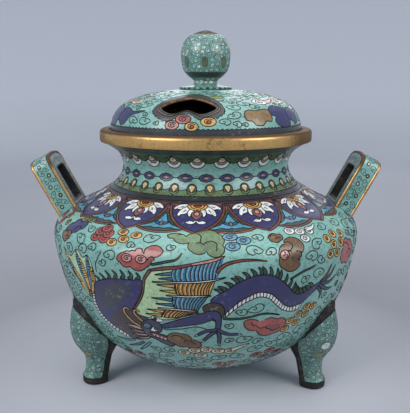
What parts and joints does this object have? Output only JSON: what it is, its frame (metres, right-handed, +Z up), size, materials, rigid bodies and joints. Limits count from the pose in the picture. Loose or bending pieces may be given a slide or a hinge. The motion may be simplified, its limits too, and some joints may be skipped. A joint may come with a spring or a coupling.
{
  "type": "incense burner",
  "caption": "Round cloisonne incense burner on tripod feet, with a waisted neck, upright loop handles and a pierced domed lid with a bud knob.",
  "frame": {"origin": "on the vessel's axis, level with the undersides of the feet", "axes": "+Z up along the vessel's axis, handles towards +X and -X, the front with the main dragon towards -Y"},
  "size_m": [0.3186, 0.281, 0.3122],
  "materials": {
    "enamel": "polished turquoise enamel on copper, with dark wires and slight pitting",
    "gilt_rim": "worn gilding, satin",
    "dark_bronze": "dark patinated bronze"
  },
  "bodies": {
    "root": {"bowl": "enamel", "mouth_rim": "gilt_rim", "lid": "enamel", "lid_knob": "enamel", "handle_right": "enamel", "handle_left": "enamel", "foot_left": "dark_bronze", "foot_right": "dark_bronze", "foot_back": "dark_bronze"}
  },
  "joints": []
}
